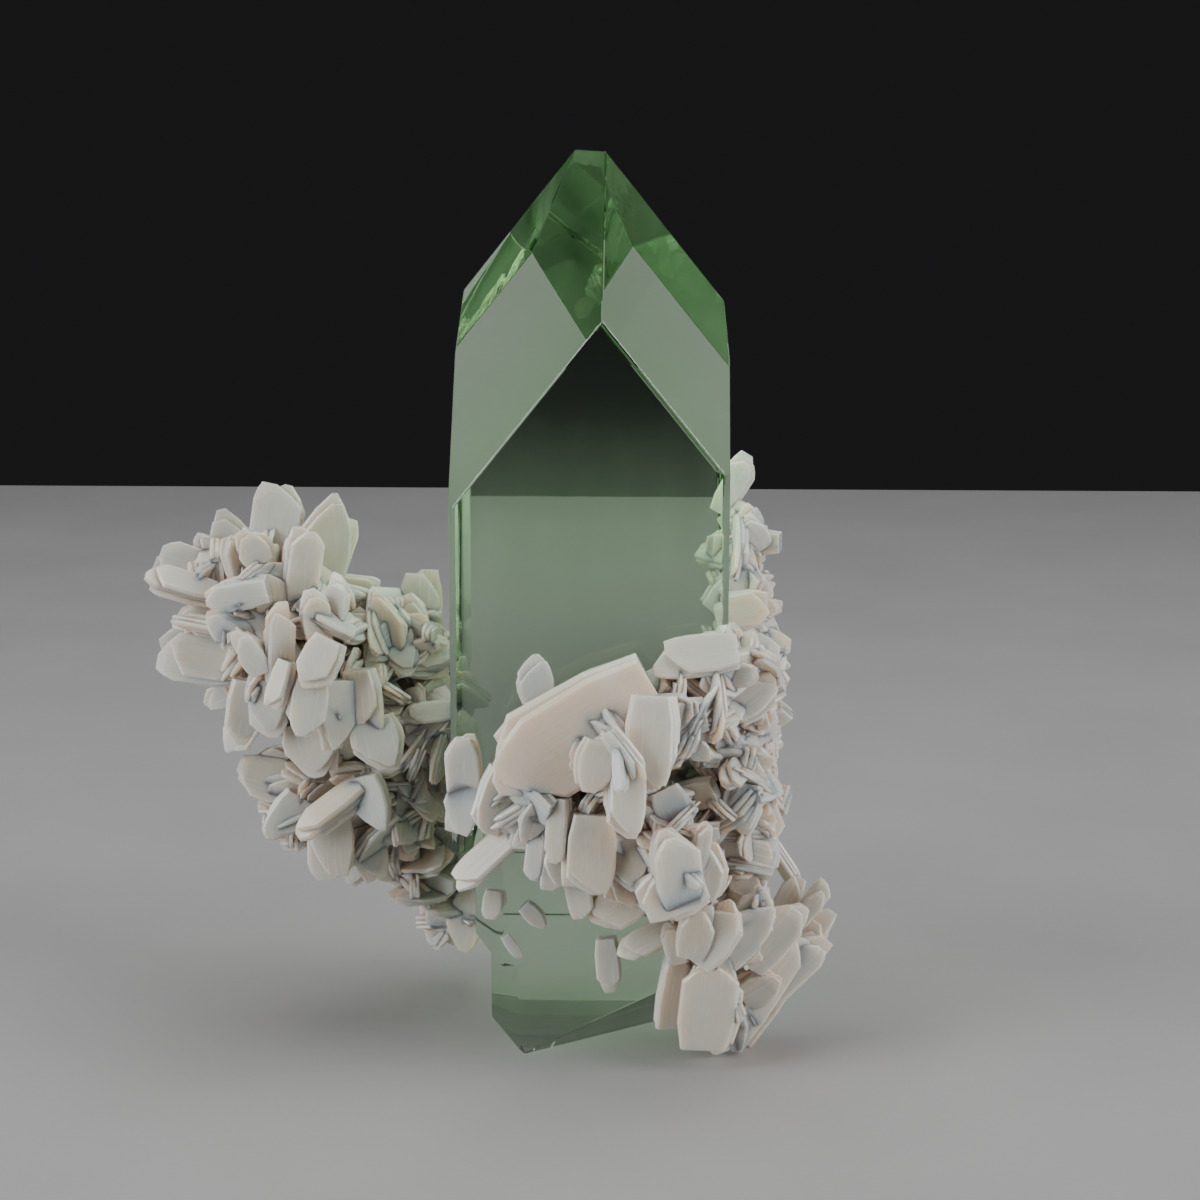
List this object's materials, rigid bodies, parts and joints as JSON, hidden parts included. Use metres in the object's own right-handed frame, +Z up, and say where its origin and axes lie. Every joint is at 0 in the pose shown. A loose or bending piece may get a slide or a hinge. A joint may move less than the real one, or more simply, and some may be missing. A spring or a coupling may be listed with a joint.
{
  "type": "apophyllite with stilbite",
  "caption": "Green apophyllite tower with a sloping tip, grown through by two clusters of peach and lilac stilbite blades.",
  "frame": {"origin": "on the flat broken underside of the apophyllite tower, on the tower's own axis", "axes": "+Z up along the tower, -Y out of the tower's front face, +X towards the climbing band of stilbite"},
  "size_m": [0.0602, 0.036, 0.0775],
  "materials": {
    "apophyllite_green": "vitreous, clear to milky green",
    "stilbite_peach": "pearly, translucent peach",
    "stilbite_lilac": "pearly, translucent peach to lilac",
    "stilbite_white": "vitreous, translucent white to yellow"
  },
  "bodies": {
    "root": {"apophyllite_crystal": "apophyllite_green", "stilbite_left_cluster": "stilbite_peach", "stilbite_right_cluster": "stilbite_lilac", "stilbite_face_plate": "stilbite_white", "stilbite_left_foot_blade": "stilbite_white", "stilbite_foot_blade": "stilbite_white", "stilbite_low_blade": "stilbite_white", "stilbite_yellow_blade": "stilbite_white"}
  },
  "joints": []
}
